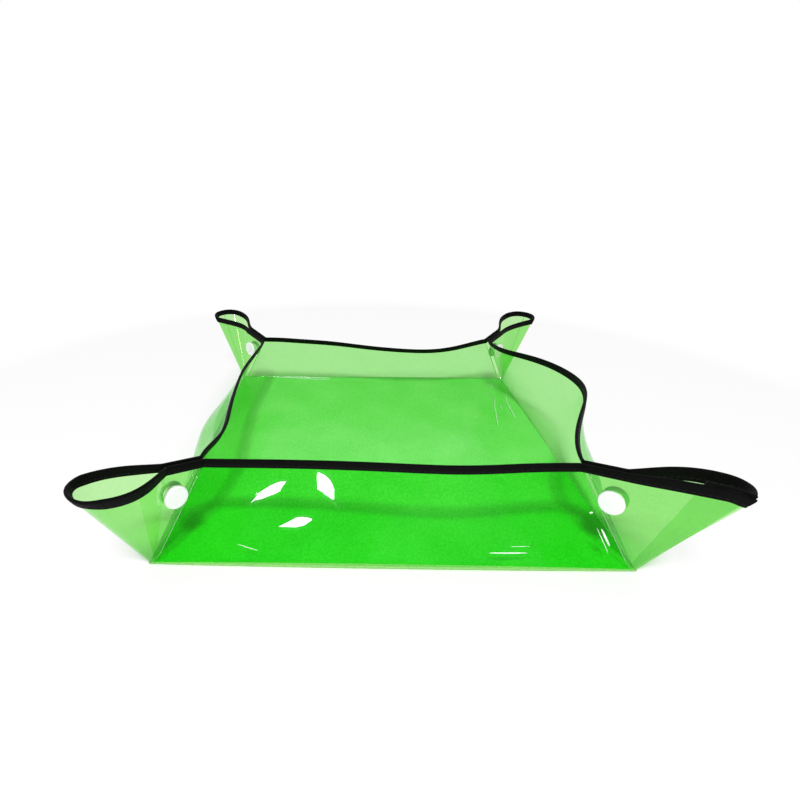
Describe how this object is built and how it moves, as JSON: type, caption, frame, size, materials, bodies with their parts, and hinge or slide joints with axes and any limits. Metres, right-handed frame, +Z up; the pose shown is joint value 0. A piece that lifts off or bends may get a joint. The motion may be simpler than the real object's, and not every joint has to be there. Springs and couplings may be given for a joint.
{
  "type": "potting soil tray",
  "caption": "Square fold-flat potting mat of clear tinted sheet with a taped edge, its corners snapped together so the sides stand up as a shallow tray that catches soil.",
  "frame": {"origin": "centre of the base's underside, on the surface that the tray stands on", "axes": "+Z up, +X to the right and +Y to the back as the tray faces the viewer"},
  "size_m": [0.333, 0.333, 0.0703],
  "materials": {
    "clear_sheet": "clear gloss",
    "edge_tape": "woven, slight sheen",
    "snap_plastic": "satin"
  },
  "bodies": {
    "tray_base": {"base": "clear_sheet"},
    "front_side": {"front_wall": "clear_sheet", "front_wall_tape": "edge_tape"},
    "front_left_ear_flap": {"front_left_flap": "clear_sheet", "front_left_flap_tape": "edge_tape", "front_left_cap": "snap_plastic", "front_left_stud": "snap_plastic"},
    "front_left_ear_tip": {"front_left_tip": "clear_sheet", "front_left_tip_tape": "edge_tape"},
    "front_right_ear_flap": {"front_right_flap": "clear_sheet", "front_right_flap_tape": "edge_tape", "front_right_cap": "snap_plastic", "front_right_stud": "snap_plastic"},
    "front_right_ear_tip": {"front_right_tip": "clear_sheet", "front_right_tip_tape": "edge_tape"},
    "right_side": {"right_wall": "clear_sheet", "right_wall_tape": "edge_tape"},
    "right_front_ear_flap": {"right_front_flap": "clear_sheet", "right_front_flap_tape": "edge_tape", "right_front_cap": "snap_plastic", "right_front_socket": "snap_plastic"},
    "right_front_ear_tip": {"right_front_tip": "clear_sheet", "right_front_tip_tape": "edge_tape"},
    "right_back_ear_flap": {"right_back_flap": "clear_sheet", "right_back_flap_tape": "edge_tape", "right_back_cap": "snap_plastic", "right_back_socket": "snap_plastic"},
    "right_back_ear_tip": {"right_back_tip": "clear_sheet", "right_back_tip_tape": "edge_tape"},
    "back_side": {"back_wall": "clear_sheet", "back_wall_tape": "edge_tape"},
    "back_right_ear_flap": {"back_right_flap": "clear_sheet", "back_right_flap_tape": "edge_tape", "back_right_cap": "snap_plastic", "back_right_stud": "snap_plastic"},
    "back_right_ear_tip": {"back_right_tip": "clear_sheet", "back_right_tip_tape": "edge_tape"},
    "back_left_ear_flap": {"back_left_flap": "clear_sheet", "back_left_flap_tape": "edge_tape", "back_left_cap": "snap_plastic", "back_left_stud": "snap_plastic"},
    "back_left_ear_tip": {"back_left_tip": "clear_sheet", "back_left_tip_tape": "edge_tape"},
    "left_side": {"left_wall": "clear_sheet", "left_wall_tape": "edge_tape"},
    "left_back_ear_flap": {"left_back_flap": "clear_sheet", "left_back_flap_tape": "edge_tape", "left_back_cap": "snap_plastic", "left_back_socket": "snap_plastic"},
    "left_back_ear_tip": {"left_back_tip": "clear_sheet", "left_back_tip_tape": "edge_tape"},
    "left_front_ear_flap": {"left_front_flap": "clear_sheet", "left_front_flap_tape": "edge_tape", "left_front_cap": "snap_plastic", "left_front_socket": "snap_plastic"},
    "left_front_ear_tip": {"left_front_tip": "clear_sheet", "left_front_tip_tape": "edge_tape"}
  },
  "joints": [
    {"name": "front_wall_fold", "type": "hinge", "parent": "tray_base", "child": "front_side", "pos_m": [0, -0.14, 0.00025], "axis": [1, 0, 0], "range_deg": [0, 113.79]},
    {"name": "front_left_flap_fold", "type": "hinge", "parent": "front_side", "child": "front_left_ear_flap", "pos_m": [-0.13668, -0.14, 0.00025], "axis": [-0.4226, -0.4226, -0.8017], "range_deg": [0, 63.91]},
    {"name": "front_left_tip_fold", "type": "hinge", "parent": "front_left_ear_flap", "child": "front_left_ear_tip", "pos_m": [-0.13668, -0.14, 0.00025], "axis": [-0.0973, -0.3541, 0.9301], "range_deg": [0, 62.55]},
    {"name": "front_right_flap_fold", "type": "hinge", "parent": "front_side", "child": "front_right_ear_flap", "pos_m": [0.13668, -0.14, 0.00025], "axis": [-0.4226, 0.4226, 0.8017], "range_deg": [0, 63.91]},
    {"name": "front_right_tip_fold", "type": "hinge", "parent": "front_right_ear_flap", "child": "front_right_ear_tip", "pos_m": [0.13668, -0.14, 0.00025], "axis": [-0.0973, 0.3541, -0.9301], "range_deg": [0, 62.55]},
    {"name": "right_wall_fold", "type": "hinge", "parent": "tray_base", "child": "right_side", "pos_m": [0.14, 0, 0.00025], "axis": [0, 1, 0], "range_deg": [0, 113.79]},
    {"name": "right_front_flap_fold", "type": "hinge", "parent": "right_side", "child": "right_front_ear_flap", "pos_m": [0.14, -0.13668, 0.00025], "axis": [0.4226, -0.4226, -0.8017], "range_deg": [0, 63.91]},
    {"name": "right_front_tip_fold", "type": "hinge", "parent": "right_front_ear_flap", "child": "right_front_ear_tip", "pos_m": [0.14, -0.13668, 0.00025], "axis": [0.3541, -0.0973, 0.9301], "range_deg": [0, 62.55]},
    {"name": "right_back_flap_fold", "type": "hinge", "parent": "right_side", "child": "right_back_ear_flap", "pos_m": [0.14, 0.13668, 0.00025], "axis": [-0.4226, -0.4226, 0.8017], "range_deg": [0, 63.91]},
    {"name": "right_back_tip_fold", "type": "hinge", "parent": "right_back_ear_flap", "child": "right_back_ear_tip", "pos_m": [0.14, 0.13668, 0.00025], "axis": [-0.3541, -0.0973, -0.9301], "range_deg": [0, 62.55]},
    {"name": "back_wall_fold", "type": "hinge", "parent": "tray_base", "child": "back_side", "pos_m": [0, 0.14, 0.00025], "axis": [-1, 0, 0], "range_deg": [0, 113.79]},
    {"name": "back_right_flap_fold", "type": "hinge", "parent": "back_side", "child": "back_right_ear_flap", "pos_m": [0.13668, 0.14, 0.00025], "axis": [0.4226, 0.4226, -0.8017], "range_deg": [0, 63.91]},
    {"name": "back_right_tip_fold", "type": "hinge", "parent": "back_right_ear_flap", "child": "back_right_ear_tip", "pos_m": [0.13668, 0.14, 0.00025], "axis": [0.0973, 0.3541, 0.9301], "range_deg": [0, 62.55]},
    {"name": "back_left_flap_fold", "type": "hinge", "parent": "back_side", "child": "back_left_ear_flap", "pos_m": [-0.13668, 0.14, 0.00025], "axis": [0.4226, -0.4226, 0.8017], "range_deg": [0, 63.91]},
    {"name": "back_left_tip_fold", "type": "hinge", "parent": "back_left_ear_flap", "child": "back_left_ear_tip", "pos_m": [-0.13668, 0.14, 0.00025], "axis": [0.0973, -0.3541, -0.9301], "range_deg": [0, 62.55]},
    {"name": "left_wall_fold", "type": "hinge", "parent": "tray_base", "child": "left_side", "pos_m": [-0.14, 0, 0.00025], "axis": [0, -1, 0], "range_deg": [0, 113.79]},
    {"name": "left_back_flap_fold", "type": "hinge", "parent": "left_side", "child": "left_back_ear_flap", "pos_m": [-0.14, 0.13668, 0.00025], "axis": [-0.4226, 0.4226, -0.8017], "range_deg": [0, 63.91]},
    {"name": "left_back_tip_fold", "type": "hinge", "parent": "left_back_ear_flap", "child": "left_back_ear_tip", "pos_m": [-0.14, 0.13668, 0.00025], "axis": [-0.3541, 0.0973, 0.9301], "range_deg": [0, 62.55]},
    {"name": "left_front_flap_fold", "type": "hinge", "parent": "left_side", "child": "left_front_ear_flap", "pos_m": [-0.14, -0.13668, 0.00025], "axis": [0.4226, 0.4226, 0.8017], "range_deg": [0, 63.91]},
    {"name": "left_front_tip_fold", "type": "hinge", "parent": "left_front_ear_flap", "child": "left_front_ear_tip", "pos_m": [-0.14, -0.13668, 0.00025], "axis": [0.3541, 0.0973, -0.9301], "range_deg": [0, 62.55]}
  ],
  "couplings": [
    {"joint": "front_left_flap_fold", "follows": "front_wall_fold", "ratio": 0.56148},
    {"joint": "front_left_tip_fold", "follows": "front_wall_fold", "ratio": 0.54954},
    {"joint": "front_right_flap_fold", "follows": "front_wall_fold", "ratio": 0.56148},
    {"joint": "front_right_tip_fold", "follows": "front_wall_fold", "ratio": 0.54954},
    {"joint": "right_wall_fold", "follows": "front_wall_fold", "ratio": 1},
    {"joint": "right_front_flap_fold", "follows": "front_wall_fold", "ratio": 0.56148},
    {"joint": "right_front_tip_fold", "follows": "front_wall_fold", "ratio": 0.54954},
    {"joint": "right_back_flap_fold", "follows": "front_wall_fold", "ratio": 0.56148},
    {"joint": "right_back_tip_fold", "follows": "front_wall_fold", "ratio": 0.54954},
    {"joint": "back_wall_fold", "follows": "front_wall_fold", "ratio": 1},
    {"joint": "back_right_flap_fold", "follows": "front_wall_fold", "ratio": 0.56148},
    {"joint": "back_right_tip_fold", "follows": "front_wall_fold", "ratio": 0.54954},
    {"joint": "back_left_flap_fold", "follows": "front_wall_fold", "ratio": 0.56148},
    {"joint": "back_left_tip_fold", "follows": "front_wall_fold", "ratio": 0.54954},
    {"joint": "left_wall_fold", "follows": "front_wall_fold", "ratio": 1},
    {"joint": "left_back_flap_fold", "follows": "front_wall_fold", "ratio": 0.56148},
    {"joint": "left_back_tip_fold", "follows": "front_wall_fold", "ratio": 0.54954},
    {"joint": "left_front_flap_fold", "follows": "front_wall_fold", "ratio": 0.56148},
    {"joint": "left_front_tip_fold", "follows": "front_wall_fold", "ratio": 0.54954}
  ]
}
